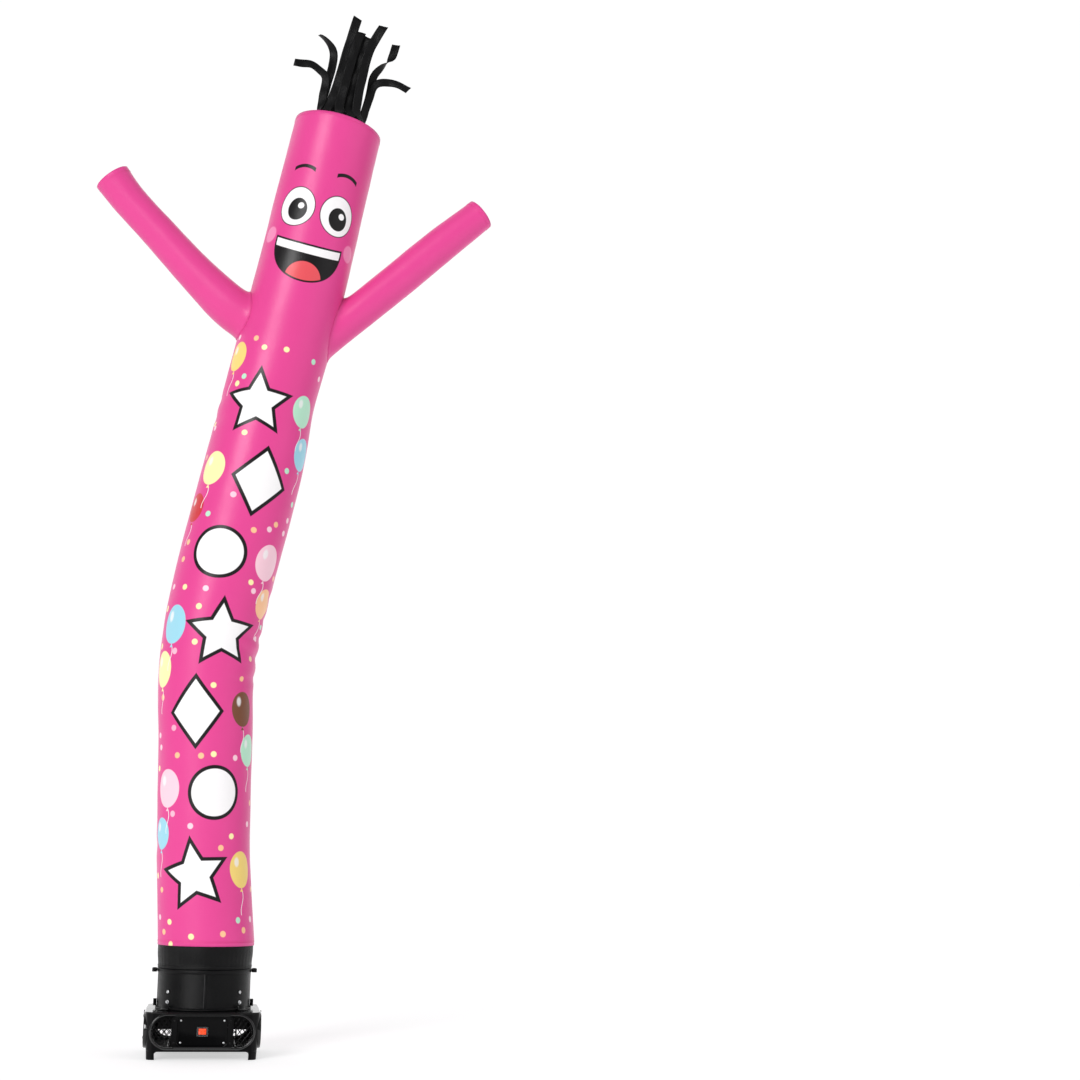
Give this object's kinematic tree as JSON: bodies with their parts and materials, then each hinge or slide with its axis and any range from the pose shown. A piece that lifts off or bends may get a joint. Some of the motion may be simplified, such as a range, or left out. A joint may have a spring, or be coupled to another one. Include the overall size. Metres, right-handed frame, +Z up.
{
  "type": "inflatable air dancer with its floor blower",
  "caption": "Inflatable air dancer: a tall leaning cloth tube with two waving arms and a streamer fringe, on a square floor blower with a switch and mains lead.",
  "frame": {"origin": "on the floor, under the middle of the outline without the mains lead; the blower's axis is at x = -0.2075", "axes": "+Z up, -Y towards the figure's front and the switch, +X towards the side that the figure leans to"},
  "size_m": [1.4067, 0.5815, 3.7017],
  "materials": {
    "pink_cloth": "ripstop nylon, faint sheen",
    "black_cloth": "woven nylon, matte",
    "hook_tape": "hook tape, dull",
    "housing": "moulded, glossy",
    "grained_plastic": "leather grain, satin",
    "zinc_screws": "zinc plated",
    "red_rocker": "moulded, glossy",
    "clear_cover": "clear, glossy",
    "cord": "smooth sheath",
    "plug_pins": "polished"
  },
  "bodies": {
    "root": {"arm_left": "pink_cloth", "arm_right": "pink_cloth", "base_housing": "housing", "body_tube": "pink_cloth", "bracket_1": "housing", "bracket_2": "housing", "bracket_3": "housing", "bracket_4": "housing", "cord_coil": "cord", "cord_tail": "cord", "cord_tube": "cord", "cuff": "black_cloth", "duct": "grained_plastic", "duct_bolt_1": "zinc_screws", "duct_bolt_2": "zinc_screws", "duct_bolt_3": "zinc_screws", "duct_bolt_4": "zinc_screws", "duct_screw_1": "zinc_screws", "duct_screw_2": "zinc_screws", "duct_screw_3": "zinc_screws", "duct_screw_4": "zinc_screws", "foot_clip_left": "grained_plastic", "foot_clip_right": "grained_plastic", "gland": "housing", "hair_fringe": "black_cloth", "head_panel": "pink_cloth", "hook_band": "hook_tape", "hoop_ring": "grained_plastic", "hoop_tab_left": "grained_plastic", "hoop_tab_right": "grained_plastic", "lattice_back": "housing", "lattice_front": "housing", "lattice_left": "housing", "lattice_right": "housing", "panel_screw_1": "zinc_screws", "panel_screw_2": "zinc_screws", "panel_screw_3": "zinc_screws", "panel_screw_4": "zinc_screws", "plug": "cord", "plug_pin_1": "plug_pins", "plug_pin_2": "plug_pins", "plug_pin_3": "plug_pins", "strap_back": "housing", "strap_left": "housing", "strap_right": "housing", "switch_bezel": "housing", "switch_cover": "clear_cover", "switch_panel": "housing", "top_grille": "housing"},
    "rocker": {"switch_rocker": "red_rocker"}
  },
  "joints": [
    {"name": "switch_rock", "type": "hinge", "parent": "root", "child": "rocker", "pos_m": [-0.2075, -0.181, 0.0905], "axis": [1, 0, 0], "range_deg": [0, 16]}
  ]
}
